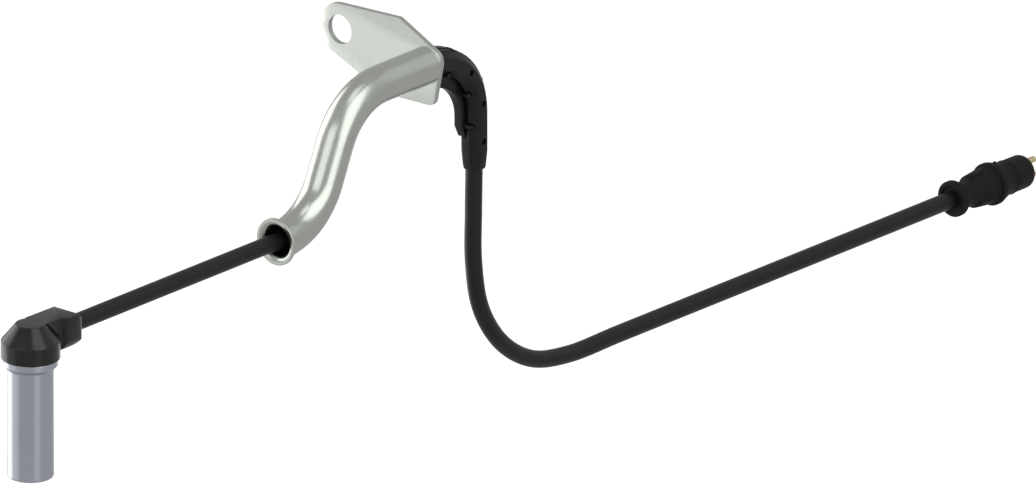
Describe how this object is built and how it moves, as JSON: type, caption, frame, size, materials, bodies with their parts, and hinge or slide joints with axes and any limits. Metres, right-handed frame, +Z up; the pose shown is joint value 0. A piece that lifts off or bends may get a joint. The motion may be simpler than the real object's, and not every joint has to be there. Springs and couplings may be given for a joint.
{
  "type": "abs wheel speed sensor",
  "caption": "Right-angled cylindrical wheel speed sensor with a cable led through a bent guide tube, a flat bolt-on bracket and a clip-on elbow to a round plug.",
  "frame": {"origin": "on the bracket's front face, midway between the axis of its bolt hole and the axis of the guide tube", "axes": "+X along the guide tube from the sensor towards the plug, +Y from the tube towards the bolt hole, +Z up, away from the sensing face"},
  "size_m": [0.5337, 0.0584, 0.1475],
  "materials": {
    "sleeve_steel": "drawn stainless steel, satin",
    "head_plastic": "moulded black plastic",
    "soft_iron": "soft iron, turned",
    "bobbin_plastic": "moulded amber plastic",
    "copper_winding": "enamelled copper wire",
    "magnet_coating": "nickel-plated magnet",
    "brass": "bright brass",
    "core_white": "core insulation",
    "core_brown": "core insulation",
    "plug_rubber": "matte black overmould",
    "insert_plastic": "moulded black plastic",
    "seal_rubber": "soft black rubber",
    "cable_jacket": "satin black cable jacket",
    "tube_metal": "bright plated steel, polished",
    "plate_metal": "zinc-plated steel, satin",
    "elbow_plastic": "moulded black plastic"
  },
  "bodies": {
    "root": {"sensor_sleeve": "sleeve_steel", "sensor_head": "head_plastic", "pole_pin": "soft_iron", "coil_bobbin": "bobbin_plastic", "coil_winding": "copper_winding", "magnet": "magnet_coating", "terminal_a": "brass", "terminal_b": "brass", "sensor_core_a": "core_white", "sensor_core_b": "core_brown", "plug_body": "plug_rubber", "plug_insert": "insert_plastic", "plug_seal": "seal_rubber", "contact_pin_a": "brass", "contact_pin_b": "brass", "plug_core_a": "core_white", "plug_core_b": "core_brown", "sensor_cable": "cable_jacket", "guide_tube": "tube_metal", "bracket_plate": "plate_metal", "elbow_shell": "elbow_plastic", "elbow_cover": "elbow_plastic"}
  },
  "joints": []
}
